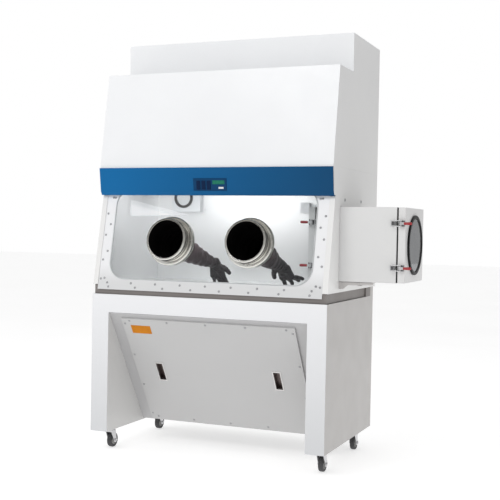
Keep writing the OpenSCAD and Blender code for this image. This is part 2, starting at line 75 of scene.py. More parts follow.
# ------------------------------------------------------------------ material helpers
class Mat:
    """A Principled material with a small set of node shortcuts."""

    def __init__(self, name):
        self.m = bpy.data.materials.new(name)
        self.m.use_nodes = True
        self.t = self.m.node_tree
        self.b = self.t.nodes["Principled BSDF"]
        self.out = self.t.nodes["Material Output"]
        self.tc = self.t.nodes.new("ShaderNodeTexCoord")

    def set(self, **k):
        for name, v in k.items():
            self.b.inputs[name.replace("_", " ")].default_value = v
        return self

    def link(self, a, b):
        self.t.links.new(a, b)

    def coords(self, scale=(1, 1, 1), rot=(0, 0, 0)):
        n = self.t.nodes.new("ShaderNodeMapping")
        n.inputs["Scale"].default_value = scale
        n.inputs["Rotation"].default_value = rot
        self.link(self.tc.outputs["Object"], n.inputs["Vector"])
        return n.outputs["Vector"]

    def noise(self, scale, detail=3, vec=None, rough=0.5, distortion=0.0):
        n = self.t.nodes.new("ShaderNodeTexNoise")
        n.inputs["Scale"].default_value = scale
        n.inputs["Detail"].default_value = detail
        n.inputs["Roughness"].default_value = rough
        n.inputs["Distortion"].default_value = distortion
        self.link(vec if vec is not None else self.tc.outputs["Object"], n.inputs["Vector"])
        return n.outputs["Fac"]

    def ramp(self, fac, lo, hi, a=0.35, b=0.65):
        n = self.t.nodes.new("ShaderNodeMapRange")
        n.inputs["From Min"].default_value = a
        n.inputs["From Max"].default_value = b
        n.inputs["To Min"].default_value = lo
        n.inputs["To Max"].default_value = hi
        self.link(fac, n.inputs["Value"])
        return n.outputs["Result"]

    def mix(self, fac, c1, c2):
        n = self.t.nodes.new("ShaderNodeMix")
        n.data_type = "RGBA"
        for k, c in ((6, c1), (7, c2)):
            if isinstance(c, (tuple, list)):
                n.inputs[k].default_value = (*c[:3], 1)
            else:
                self.link(c, n.inputs[k])
        if isinstance(fac, (int, float)):
            n.inputs[0].default_value = fac
        else:
            self.link(fac, n.inputs[0])
        return n.outputs[2]

    def math(self, op, a, b=None, c=None):
        n = self.t.nodes.new("ShaderNodeMath")
        n.operation = op
        for i, v in enumerate((a, b, c)):
            if v is None:
                continue
            if isinstance(v, (int, float)):
                n.inputs[i].default_value = v
            else:
                self.link(v, n.inputs[i])
        return n.outputs[0]

    def xyz(self):
        n = self.t.nodes.new("ShaderNodeSeparateXYZ")
        self.link(self.tc.outputs["Object"], n.inputs[0])
        return n.outputs

    def color(self, sock):
        self.link(sock, self.b.inputs["Base Color"])

    def rough(self, sock):
        self.link(sock, self.b.inputs["Roughness"])

    def bump(self, h, strength=0.2, dist=0.001, prev=None):
        n = self.t.nodes.new("ShaderNodeBump")
        n.inputs["Strength"].default_value = strength
        n.inputs["Distance"].default_value = dist
        self.link(h, n.inputs["Height"])
        if prev is not None:
            self.link(prev, n.inputs["Normal"])
        self.link(n.outputs["Normal"], self.b.inputs["Normal"])
        return n.outputs["Normal"]


def paint(name, col, rough=0.36, coat=0.15, vary=0.02, peel=0.08, spec=0.5):
    """Powder coat: fine orange peel, faint cloudiness, slightly uneven gloss."""
    k = Mat(name)
    k.set(Metallic=0.0, Coat_Weight=coat, Coat_Roughness=0.2, Specular_IOR_Level=spec)
    c1 = tuple(max(0, c * (1 - vary)) for c in col)
    c2 = tuple(min(1, c * (1 + vary)) for c in col)
    cloud = k.ramp(k.noise(1.7, 4), 0, 1)
    speck = k.ramp(k.noise(220, 2), 0, 1)
    base = k.mix(cloud, c1, c2)
    base2 = k.mix(k.math("MULTIPLY", speck, 0.25), base, tuple(c * 0.96 for c in col))
    k.color(base2)
    k.rough(k.math("ADD", k.ramp(k.noise(9, 3), rough - 0.05, rough + 0.05), k.math("MULTIPLY", speck, 0.03)))
    k.bump(k.noise(520, 2), peel, 0.0006)
    return k.m


def paint_shaded_grad(name, ca, cb, axis, a, b, inner=None, **kw):
    """Powder coat with painted light and shade: the colour drifts along one axis from ca at a to cb at b, and inner,
    if given, is painted shade on the faces set back behind the front face.
    """
    k = Mat(name)
    k.set(Metallic=0.0, Coat_Weight=kw.get("coat", 0.15), Coat_Roughness=0.2, Specular_IOR_Level=kw.get("spec", 0.5))
    t = k.ramp(k.xyz()[axis], 0, 1, a, b)
    cloud = k.ramp(k.noise(1.7, 4), 0, 0.6)
    speck = k.ramp(k.noise(220, 2), 0, 1)
    base = k.mix(t, ca, cb)
    dark = k.mix(t, tuple(c * 0.965 for c in ca), tuple(c * 0.965 for c in cb))
    if inner is not None:
        # painted shade: faces set back more than 6 to 12 mm behind the front face take the inner colour
        return_shade = k.ramp(k.xyz()[1], 0, 1, CY + 0.006, CY + 0.012)
        base = k.mix(return_shade, base, inner)
        dark = k.mix(return_shade, dark, tuple(c * 0.965 for c in inner))
    k.color(k.mix(k.math("MULTIPLY", k.math("ADD", cloud, k.math("MULTIPLY", speck, 0.4)), 0.9), base, dark))
    r = kw.get("rough", 0.36)
    k.rough(k.math("ADD", k.ramp(k.noise(9, 3), r - 0.05, r + 0.05), k.math("MULTIPLY", speck, 0.03)))
    k.bump(k.noise(520, 2), 0.08, 0.0006)
    return k.m


def brushed(name, col, rough=0.3, grain=(3, 500, 500), vary=0.06, bump=0.12, aniso=0.4, spread=0.1):
    """Rolled or brushed metal with its grain along one axis."""
    k = Mat(name)
    k.set(Metallic=1.0, Anisotropic=aniso)
    g = k.noise(1.0, 5, k.coords(grain), 0.6)
    wide = k.ramp(k.noise(2.3, 3), 0, 1)
    c1 = tuple(c * (1 - vary) for c in col)
    c2 = tuple(min(1, c * (1 + vary)) for c in col)
    k.color(k.mix(k.math("MULTIPLY", k.math("ADD", k.ramp(g, 0, 1, 0.3, 0.7), wide), 0.5), c1, c2))
    k.rough(k.ramp(g, rough - spread / 2, rough + spread, 0.3, 0.7))
    k.bump(g, bump, 0.0003)
    return k.m


def rubber(name, col, rough=0.55, scale=260, strength=0.25, vary=0.15, spec=0.5):
    k = Mat(name)
    k.set(Metallic=0.0, Specular_IOR_Level=spec)
    cloud = k.ramp(k.noise(14, 4), 0, 1)
    k.color(k.mix(cloud, tuple(c * (1 - vary) for c in col), tuple(c * (1 + vary) for c in col)))
    k.rough(k.ramp(k.noise(35, 3), rough - 0.08, rough + 0.08))
    k.bump(k.noise(scale, 3), strength, 0.0004)
    return k.m


def plastic(name, col, rough=0.4, vary=0.05, scale=700, strength=0.1, spec=0.5):
    k = Mat(name)
    k.set(Metallic=0.0, Specular_IOR_Level=spec)
    k.color(k.mix(k.ramp(k.noise(11, 4), 0, 1), tuple(c * (1 - vary) for c in col), tuple(min(1, c * (1 + vary)) for c in col)))
    k.rough(k.ramp(k.noise(24, 3), rough - 0.05, rough + 0.06))
    k.bump(k.noise(scale, 2), strength, 0.0003)
    return k.m


def glass(name, tint=(0.93, 0.97, 0.965), gloss=0.02, painted_grey=0.0):
    """Clear sheet: lets light straight through with a faint tint and mirrors at grazing angles. painted_grey, when
    set, mixes in a grey diffuse layer standing in for the grey look reflections give a pane.
    """
    k = Mat(name)
    t, n = k.t, k.t.nodes
    n.remove(k.b)
    tr = n.new("ShaderNodeBsdfTransparent")
    gl = n.new("ShaderNodeBsdfGlossy")
    mx = n.new("ShaderNodeMixShader")
    fr = n.new("ShaderNodeFresnel")
    fr.inputs["IOR"].default_value = 1.4
    tint_mix = k.mix(k.ramp(k.noise(3, 2), 0, 1), tint, tuple(min(1, c * 1.012) for c in tint))
    k.link(tint_mix, tr.inputs["Color"])
    gl.inputs["Color"].default_value = (0.95, 0.97, 1, 1)
    k.link(k.ramp(k.noise(30, 3), gloss, gloss + 0.03), gl.inputs["Roughness"])
    k.link(fr.outputs[0], mx.inputs[0])
    # painted grey: a grey diffuse layer mixed over the clear pane
    if painted_grey > 0:
        df = n.new("ShaderNodeBsdfDiffuse")
        k.link(k.mix(k.ramp(k.noise(6, 3), 0, 1), (0.20, 0.20, 0.20), (0.24, 0.24, 0.24)), df.inputs["Color"])
        painted_grey_mix = n.new("ShaderNodeMixShader")
        painted_grey_mix.inputs[0].default_value = painted_grey
        k.link(tr.outputs[0], painted_grey_mix.inputs[1])
        k.link(df.outputs[0], painted_grey_mix.inputs[2])
        k.link(painted_grey_mix.outputs[0], mx.inputs[1])
    else:
        k.link(tr.outputs[0], mx.inputs[1])
    k.link(gl.outputs[0], mx.inputs[2])
    k.link(mx.outputs[0], k.out.inputs["Surface"])
    return k.m


M = {}
M["front"] = paint("paint_front_white", (0.875, 0.885, 0.90))
# painted shade: the stand front is painted darker towards the floor, and its returns behind the front face darker
# still
M["stand"] = paint_shaded_grad("paint_stand_front", (0.70, 0.71, 0.725), (0.88, 0.885, 0.905), 2, 0.15, 0.80, (0.50, 0.497, 0.502))
# painted shade: the bezel is painted darker towards its bottom edge
M["bezel"] = paint_shaded_grad("paint_bezel", (0.72, 0.725, 0.73), (0.89, 0.895, 0.91), 2, 0.865, 0.95)
# painted shade: the side and rear panels are painted greyer towards the top
M["side"] = paint_shaded_grad("paint_side_white", (0.875, 0.872, 0.862), (0.775, 0.775, 0.775), 2, 0.95, 1.95)
# painted light and shade: the stand's left side panel is painted lighter than its right one
M["stand_side"] = paint_shaded_grad("paint_stand_side", (0.70, 0.695, 0.685), (0.510, 0.492, 0.478), 0, CX - 0.2, CX + 0.2)
M["knee"] = paint("paint_knee", (0.545, 0.543, 0.543))
M["pass"] = paint("paint_pass_box", (0.765, 0.765, 0.762))
M["door"] = paint("paint_pass_door", (0.775, 0.772, 0.770))
M["rail"] = paint("paint_rail_taupe", (0.235, 0.215, 0.205), 0.45, 0.0, 0.06)
M["bracket"] = paint("paint_bracket_pale", (0.58, 0.56, 0.55), 0.45, 0.0, 0.06)
# painted light and shade: the fascia is painted brighter at its left end and darker at its right
M["blue"] = paint_shaded_grad("paint_fascia_blue", (0.002, 0.135, 0.36), (0.002, 0.062, 0.165), 0, CX - 0.55, CX + 0.6, coat=0.0, spec=0.16, rough=0.42)
M["liner"] = brushed("steel_liner", (0.87, 0.875, 0.88), 0.5, (500, 500, 4), 0.03, 0.06, 0.2)
M["tray"] = brushed("steel_tray", (0.80, 0.81, 0.81), 0.38, (4, 500, 500), 0.04, 0.08)
M["steel"] = brushed("steel_zinc", (0.66, 0.66, 0.67), 0.32, (120, 120, 120), 0.08, 0.15)
M["collar"] = brushed("steel_galvanised", (0.68, 0.69, 0.70), 0.42, (35, 35, 35), 0.14, 0.1)
M["screw"] = brushed("steel_screw", (0.40, 0.405, 0.415), 0.33, (300, 300, 300), 0.08, 0.1)
M["ring"] = rubber("rubber_door_ring", (0.006, 0.006, 0.007), 0.4, 420, 0.10, 0.15, 0.16)
M["window"] = glass("glass_window", (0.975, 0.985, 0.985))
# the pass box door pane is painted mostly grey, standing in for the reflections in it
M["doorglass"] = glass("glass_door", (0.70, 0.72, 0.73), 0.02, 0.72)
M["lamp"] = plastic("lamp_tube_white", (0.92, 0.93, 0.93), 0.25)
M["blower"] = paint("paint_blower", (0.20, 0.22, 0.24), 0.42)
M["alu"] = brushed("alu_impeller", (0.72, 0.73, 0.74), 0.35, (90, 90, 90), 0.05)
# wall fittings: pale plastic, the round bezel of the inlet in dark rubber
_k = Mat("plastic_fitting")
_k.set(Metallic=0.0, Specular_IOR_Level=0.4)
_x = _k.xyz()
_dx = _k.math("ADD", _x[0], -(CX - 0.422))
_dz = _k.math("ADD", _x[2], -1.312)
_r = _k.math("SQRT", _k.math("ADD", _k.math("MULTIPLY", _dx, _dx), _k.math("MULTIPLY", _dz, _dz)))
_m = _k.math("MULTIPLY", _k.math("MULTIPLY", _k.math("GREATER_THAN", _r, 0.0415), _k.math("LESS_THAN", _r, 0.0575)), _k.math("LESS_THAN", _x[1], CY + 0.6119))
_cl = _k.ramp(_k.noise(11, 4), 0, 1)
_k.color(_k.mix(_m, _k.mix(_cl, (0.78, 0.80, 0.82), (0.84, 0.86, 0.88)), _k.mix(_cl, (0.045, 0.042, 0.042), (0.07, 0.066, 0.066))))
_k.rough(_k.ramp(_k.noise(24, 3), 0.32, 0.44))
_k.bump(_k.noise(700, 2), 0.1, 0.0003)
M["fitting"] = _k.m
M["latch"] = brushed("steel_latch_dark", (0.235, 0.235, 0.24), 0.34, (160, 160, 160), 0.12, 0.12)
M["red"] = plastic("vinyl_grip_red", (0.36, 0.014, 0.02), 0.33, 0.12, 300, 0.2)
M["tyre"] = rubber("rubber_tyre_grey", (0.055, 0.055, 0.058), 0.6)
M["hub"] = plastic("nylon_hub", (0.42, 0.42, 0.41), 0.42)
M["pedal"] = plastic("pedal_black", (0.03, 0.03, 0.032), 0.45)
M["navy"] = plastic("keypad_navy", (0.004, 0.050, 0.140), 0.4, spec=0.12)
M["key"] = plastic("key_dark_navy", (0.002, 0.017, 0.062), 0.42, spec=0.12)
M["glove"] = rubber("rubber_glove_hand", (0.013, 0.008, 0.0095), 0.46, 210, 0.35, 0.25, 0.3)
# sleeve: greyish where it is stretched near the port, darker towards the wrist
_k = Mat("rubber_glove_sleeve")
_k.set(Metallic=0.0, Specular_IOR_Level=0.35)
_t = _k.ramp(_k.xyz()[1], 0, 1, CY + 0.10, CY + 0.31)
_cl = _k.ramp(_k.noise(14, 4), 0, 1)
_k.color(_k.mix(_t, _k.mix(_cl, (0.066, 0.038, 0.044), (0.096, 0.060, 0.067)), _k.mix(_cl, (0.014, 0.009, 0.011), (0.026, 0.017, 0.020))))
_k.rough(_k.ramp(_k.noise(35, 3), 0.42, 0.58))
_k.bump(_k.noise(210, 3), 0.35, 0.0004)
M["sleeve"] = _k.m

# turned port rings: fine concentric tool marks, and painted shade that darkens the rings towards the top under the
# hood, standing in for its dark reflection
_k = Mat("steel_port_turned")
_k.set(Metallic=1.0, Anisotropic=0.35)
_x = _k.xyz()
_c, _s = math.cos(math.radians(11.1)), math.sin(math.radians(11.1))
_n = _k.math("ADD", _k.math("MULTIPLY", _x[1], -_c), _k.math("MULTIPLY", _x[2], _s))
_u = _k.math("ADD", _k.math("ADD", _k.math("MULTIPLY", _x[1], _s), _k.math("MULTIPLY", _x[2], _c)), -((CY + 0.003 + 0.25 * math.tan(math.radians(11.1))) * _s + 1.078 * _c))
_v = _k.t.nodes.new("ShaderNodeCombineXYZ")
_k.link(_k.math("MULTIPLY", _n, 2600.0), _v.inputs[0])
_ring = _k.noise(1.0, 3, _v.outputs[0], 0.6)
_v2 = _k.t.nodes.new("ShaderNodeCombineXYZ")
_k.link(_k.math("MULTIPLY", _n, 260.0), _v2.inputs[0])
_band = _k.ramp(_k.noise(1.0, 2, _v2.outputs[0], 0.5), 0, 1, 0.38, 0.62)
# painted shade: the rings are painted darker towards their top
_port_top_shade = _k.ramp(_u, 0, 1, -0.085, 0.075)
_k.color(_k.mix(_port_top_shade, _k.mix(_band, (0.74, 0.725, 0.68), (0.86, 0.85, 0.81)), _k.mix(_band, (0.17, 0.165, 0.145), (0.33, 0.32, 0.29))))
_k.rough(_k.math("ADD", _k.ramp(_ring, 0.16, 0.26, 0.3, 0.7), _k.ramp(_k.noise(20, 3), 0.0, 0.05)))
_k.bump(_ring, 0.10, 0.0002)
M["port"] = _k.m
M["inside"] = rubber("rubber_glove_inside", (0.0035, 0.003, 0.003), 0.9, 210, 0.1, 0.2, 0.04)

# seals: the bead round the window is pale grey, the O-rings and the door gaskets are black
_k = Mat("rubber_seals_mixed")
_k.set(Metallic=0.0, Specular_IOR_Level=0.4)
_x = _k.xyz()
_c, _s = math.cos(math.radians(11.1)), math.sin(math.radians(11.1))
_n = _k.math("ADD", _k.math("MULTIPLY", _x[1], -_c), _k.math("MULTIPLY", _x[2], _s))
_n = _k.math("ADD", _n, (CY + 0.003) * _c - 0.828 * _s + 0.0007)
_bead = _k.math("LESS_THAN", _k.math("ABSOLUTE", _n), 0.009)
_cl = _k.ramp(_k.noise(14, 4), 0, 1)
_k.color(_k.mix(_bead, _k.mix(_cl, (0.016, 0.016, 0.018), (0.028, 0.028, 0.03)), _k.mix(_cl, (0.50, 0.515, 0.525), (0.58, 0.595, 0.605))))
_k.rough(_k.ramp(_k.noise(35, 3), 0.42, 0.58))
_k.bump(_k.noise(260, 3), 0.25, 0.0004)
M["seal"] = _k.m

# pressed cups: bright flange, the well behind it painted dark as shade in the recess
_k = Mat("steel_pull_cup")
_k.set(Metallic=1.0, Anisotropic=0.3)
_x = _k.xyz()
_ka = math.atan(0.62)
_n = _k.math("ADD", _k.math("MULTIPLY", _x[1], -math.cos(_ka)), _k.math("MULTIPLY", _x[2], -math.sin(_ka)))
_n = _k.math("ADD", _n, (CY + 0.3724) * math.cos(_ka) + 0.105 * math.sin(_ka))
# painted shade: darker the deeper a point lies behind the panel plane
_well_shade = _k.ramp(_n, 1, 0, -0.012, -0.0015)
_g = _k.noise(1.0, 5, _k.coords((300, 20, 20)), 0.6)
_k.color(_k.mix(_well_shade, _k.mix(_k.ramp(_g, 0, 1, 0.3, 0.7), (0.60, 0.59, 0.58), (0.72, 0.71, 0.70)), _k.mix(_k.ramp(_g, 0, 1, 0.3, 0.7), (0.13, 0.108, 0.103), (0.22, 0.185, 0.178))))
_k.rough(_k.ramp(_g, 0.26, 0.4, 0.3, 0.7))
_k.bump(_g, 0.1, 0.0003)
M["cup"] = _k.m

# pleated filter media: fine folds along Y, their faces painted alternately light and shaded
_k = Mat("filter_media_pleated")
_x = _k.xyz()
_w = _k.math("SINE", _k.math("MULTIPLY", _x[0], 2 * math.pi / 0.004))
_k.color(_k.mix(_k.ramp(_w, 0, 1, -1, 1), (0.62, 0.60, 0.52), (0.86, 0.85, 0.80)))
_k.rough(_k.ramp(_k.noise(60, 3), 0.75, 0.9))
_k.bump(_w, 0.6, 0.001)
M["filter"] = _k.m

# a lit liquid crystal window: green with faint dark dot rows
_k = Mat("lcd_green")
_k.set(Specular_IOR_Level=0.15)
_x = _k.xyz()
_gx = _k.math("SINE", _k.math("MULTIPLY", _x[0], 2 * math.pi / 0.0042))
_gz = _k.math("SINE", _k.math("MULTIPLY", _x[2], 2 * math.pi / 0.0085))
_pat = _k.math("MULTIPLY", _k.ramp(_gx, 0, 1, 0.0, 0.5), _k.ramp(_gz, 0, 1, 0.0, 0.4))
_cell = _k.ramp(_k.noise(150, 1, _k.coords((1, 0.2, 0.5))), 0, 1, 0.45, 0.55)
_k.color(_k.mix(_k.math("MULTIPLY", _pat, _cell), (0.016, 0.19, 0.12), (0.004, 0.05, 0.06)))
_k.rough(_k.ramp(_k.noise(40, 2), 0.15, 0.25))
_k.bump(_k.noise(300, 2), 0.05, 0.0002)
M["lcd"] = _k.m

M["plate"] = plastic("plate_orange", (0.60, 0.21, 0.010), 0.42, 0.10, spec=0.15)
M["label"] = plastic("plate_pale", (0.72, 0.74, 0.76), 0.35, 0.04)

NODE_MAT = {
    "front": ["hood_cover", "top_box_cover"], "bezel": ["front_bezel"], "stand": ["stand_front_frame"],
    "side": ["left_side_panel", "right_side_panel", "rear_panels"], "stand_side": ["stand_side_panels"], "cup": ["pull_cups"],
    "knee": ["knee_panel"],
    "pass": ["pass_box_body"], "door": ["outer_door", "inner_door"],
    "rail": ["support_rails"], "bracket": ["pass_box_bracket"],
    "liner": ["chamber_liner", "supply_diffuser"], "tray": ["work_tray"],
    "port": ["glove_ports"],
    "steel": ["hook_outer_top", "hook_outer_low", "hook_inner_top", "hook_inner_low", "hinge_leaves",
              "caster_plates", "fork_front_left", "fork_front_right", "fork_rear_left", "fork_rear_right",
              "lever_outer_top", "lever_outer_low", "lever_inner_top", "lever_inner_low"],
    "collar": ["exhaust_collar"], "screw": ["panel_screws"],
    "window": ["window_glass"], "doorglass": ["outer_door_glass"],
    "seal": ["rubber_seals"], "ring": ["outer_door_ring"],
    "glove": ["glove_left", "glove_right"], "blue": ["blue_fascia"], "navy": ["display_panel"],
    "key": ["key_left", "key_middle", "key_right"], "lamp": ["lamp_tube"], "filter": ["hepa_filters"],
    "blower": ["blower_housing"], "alu": ["impeller"], "fitting": ["rear_wall_fittings"],
    "latch": ["latch_bases_outer", "latch_bases_inner", "latch_strikes"],
    "tyre": ["wheel_front_left", "wheel_front_right", "wheel_rear_left", "wheel_rear_right"],
    "pedal": ["pedal_rear_left", "pedal_rear_right"],
}
BEVEL = {"front_bezel": 0.0008, "stand_front_frame": 0.001, "hood_cover": 0.0009, "top_box_cover": 0.0009,
         "window_glass": 0, "outer_door_glass": 0, "panel_screws": 0, "rubber_seals": 0, "glove_ports": 0.0004,
         "outer_door": 0.0022, "inner_door": 0.0022, "pass_box_body": 0.0016, "stand_side_panels": 0.0009,
         "blue_fascia": 0.0009, "knee_panel": 0.0009, "impeller": 0.0003}


def dress(o, width):
    """Softens a CAD node's edges with modifiers and gives it smooth shading."""
    me = o.data
    if "custom_normal" in me.attributes:
        me.attributes.remove(me.attributes["custom_normal"])
    me.polygons.foreach_set("use_smooth", [True] * len(me.polygons))
    w = o.modifiers.new("weld", "WELD")
    w.merge_threshold = 0.00002
    if width > 0:
        b = o.modifiers.new("bevel", "BEVEL")
        b.width = width
        b.segments = 2
        b.limit_method = "ANGLE"
        b.angle_limit = math.radians(33)
        b.use_clamp_overlap = True
    wn = o.modifiers.new("normals", "WEIGHTED_NORMAL")
    wn.weight = 60


for key, names in NODE_MAT.items():
    for n in names:
        o = N[n]
        o.data.materials.clear()
        o.data.materials.append(M[key])
        dress(o, BEVEL.get(n, 0.0006))


# ------------------------------------------------------------------ mesh helpers
def new_obj(name, bm, mat, smooth=True):
    me = bpy.data.meshes.new(name)
    bm.normal_update()
    bm.to_mesh(me)
    bm.free()
    o = bpy.data.objects.new(name, me)
    bpy.context.scene.collection.objects.link(o)
    if mat is not None:
        me.materials.append(mat)
    if smooth:
        me.polygons.foreach_set("use_smooth", [True] * len(me.polygons))
    return o


def basis(z, x=None):
    """Rotation whose local Z is z."""
    z = Vector(z).normalized()
    x = Vector(x) if x is not None else Vector((1, 0, 0)) if abs(z.x) < 0.9 else Vector((0, 1, 0))
    x = (x - z * x.dot(z)).normalized()
    return Matrix((x, z.cross(x), z)).transposed()


def lathe(bm, prof, origin, axis, seg=48, closed=False):
    """Turns (radius, height) points about an axis. A closed profile makes a ring."""
    rot = basis(axis)
    rings = []
    for r, h in prof:
        if r < 1e-7:
            rings.append([bm.verts.new(origin + rot @ Vector((0, 0, h)))])
        else:
            rings.append([bm.verts.new(origin + rot @ Vector((r * math.cos(2 * math.pi * i / seg), r * math.sin(2 * math.pi * i / seg), h))) for i in range(seg)])
    pairs = list(zip(rings, rings[1:]))
    if closed:
        pairs.append((rings[-1], rings[0]))
    for a, b in pairs:
        for i in range(seg):
            j = (i + 1) % seg
            if len(a) == 1 and len(b) == 1:
                continue
            if len(a) == 1:
                bm.faces.new((a[0], b[i], b[j]))
            elif len(b) == 1:
                bm.faces.new((a[i], b[0], a[j]))
            else:
                bm.faces.new((a[i], b[i], b[j], a[j]))
    return rings


def loft(bm, rings, cap=False):
    vs = [[bm.verts.new(p) for p in ring] for ring in rings]
    n = len(vs[0])
    for a, b in zip(vs, vs[1:]):
        for i in range(n):
            j = (i + 1) % n
            bm.faces.new((a[i], b[i], b[j], a[j]))
    if cap:
        bm.faces.new(list(reversed(vs[0])))
        bm.faces.new(vs[-1])
    return vs


def rounded(bm, c, size, rot=None, r=0.001, seg=2):
    """A block with rounded edges."""
    rot = rot or Matrix.Identity(3)
    made = bmesh.ops.create_cube(bm, size=1)
    for v in made["verts"]:
        v.co = Vector((v.co.x * size[0], v.co.y * size[1], v.co.z * size[2]))
    edges = list({e for v in made["verts"] for e in v.link_edges})
    res = bmesh.ops.bevel(bm, geom=edges, offset=r, segments=seg, affect="EDGES", profile=0.5)
    vs = {v for f in res["faces"] for v in f.verts}
    for v in vs:
        v.co = c + rot @ v.co


def fix_normals(o):
    bm = bmesh.new()
    bm.from_mesh(o.data)
    bmesh.ops.remove_doubles(bm, verts=bm.verts, dist=1e-6)
    bmesh.ops.recalc_face_normals(bm, faces=bm.faces)
    bm.to_mesh(o.data)
    bm.free()


def weighted(o):
    w = o.modifiers.new("normals", "WEIGHTED_NORMAL")
    w.weight = 60


# frames of the sloping surfaces (front of the cabinet, on the floor = origin)
TILT = math.radians(11.1)
PORT_C = {"left": Vector((-0.2115, 0.003 + 0.25 * math.tan(TILT), 1.078)), "right": Vector((0.2115, 0.003 + 0.25 * math.tan(TILT), 1.078))}
OUT = Vector((0, -math.cos(TILT), math.sin(TILT)))      # out of the window
UPW = Vector((0, math.sin(TILT), math.cos(TILT)))       # up the window
OFF = Vector((CX, CY, 0))


# ------------------------------------------------------------------ screws
def screw(bm, c, n, k_=1.0):
    """A domed button-head screw with a hexagon socket."""
    rot = basis(n)
    prof = [(0.0058, 0.0), (0.0058, 0.00035), (0.0052, 0.00042), (0.0050, 0.0011), (0.0043, 0.0020), (0.0031, 0.0026), (0.0019, 0.0028)]
    prof = [(r * k_, h) for r, h in prof]
    rings = lathe(bm, prof, c, n, 18)
    hexr = 0.0016
    top = rings[-1]
    inner, floor = [], []
    for i in range(18):
        a = 2 * math.pi * i / 18
        k = math.cos(math.pi / 6) / math.cos(((a + math.pi / 6) % (math.pi / 3)) - math.pi / 6)
        p = Vector((hexr * k * math.cos(a), hexr * k * math.sin(a), 0.0028))
        inner.append(bm.verts.new(c + rot @ p))
        p.z = 0.0012
        floor.append(bm.verts.new(c + rot @ p))
    for i in range(18):
        j = (i + 1) % 18
        bm.faces.new((top[i], inner[i], inner[j], top[j]))
        bm.faces.new((inner[i], floor[i], floor[j], inner[j]))
    bm.faces.new(floor)
    bm.faces.new(list(reversed(rings[0])))


def wy(z):
    return 0.003 + (z - 0.828) * math.tan(TILT)


KA = math.atan(0.62)
KU = Vector((0, -math.sin(KA), math.cos(KA)))     # up the knee panel
KO = Vector((0, -math.cos(KA), -math.sin(KA)))    # out of the knee panel
KB = Vector((0, 0.3724, 0.105))

_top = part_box("top_box_cover")[1].z
bm = bmesh.new()
pts = [(k * 0.1365, 0.862) for k in range(-4, 5)] + [((k - 3.5) * 0.1535, 0.8415) for k in range(8)]
pts += [(s * 0.5645, 0.884 + i * 0.1363) for i in range(4) for s in (-1, 1)]
pts += [(s * 0.5855, z) for z in (0.880, 0.976, 1.102, 1.211) for s in (-1, 1)] + [(s * 0.553, 1.292) for s in (-1, 1)]
for x, z in pts:
    screw(bm, OFF + Vector((x, wy(z), z)) + OUT * 0.00005, OUT)
for x in (-0.42, -0.21, 0, 0.21, 0.42):
    for s in (0.036, 0.668):
        screw(bm, OFF + KB + Vector((x, 0, 0)) + KU * s + KO * 0.00005, KO)
for sx in (-1, 1):
    for i in range(4):
        screw(bm, OFF + KB + Vector((sx * 0.45, 0, 0)) + KU * (0.056 + i * 0.198) + KO * 0.00005, KO)
    for y in (0.247, 0.523):
        screw(bm, P(sx * 0.62505, y, 1.293), (sx, 0, 0), 1.5)
for x in (-0.60, -0.40, -0.20, 0.0, 0.20, 0.40, 0.60):
    screw(bm, P(x, 0.82505, 0.874), (0, 1, 0))
    screw(bm, P(x, 0.82505, _top - 0.022), (0, 1, 0))
for x in (-0.60, 0.60):
    for z in (1.08, 1.29, 1.50, 1.71, 1.92):
        screw(bm, P(x, 0.82505, z), (0, 1, 0))
for x in (-0.575, -0.345, -0.115, 0.115, 0.345, 0.575):
    for z in (0.125, 0.785):
        screw(bm, P(x, 0.79005, z), (0, 1, 0))
for x in (-0.575, 0.575):
    for z in (0.29, 0.455, 0.62):
        screw(bm, P(x, 0.79005, z), (0, 1, 0))
o = new_obj("button_head_screws", bm, M["screw"])
fix_normals(o)
weighted(o)
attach(o, "cabinet")
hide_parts("panel_screws")


# ------------------------------------------------------------------ gloves
def catmull(p, t):
    n = len(p) - 1
    x = max(0, min(n - 1e-9, t * n))
    i = int(x)
    f = x - i
    g = [p[max(0, min(n, i + k))] for k in (-1, 0, 1, 2)]
    return [0.5 * (2 * b + (c - a) * f + (2 * a - 5 * b + 4 * c - d) * f * f + (3 * b - a - 3 * c + d) * f ** 3) for a, b, c, d in zip(*g)]


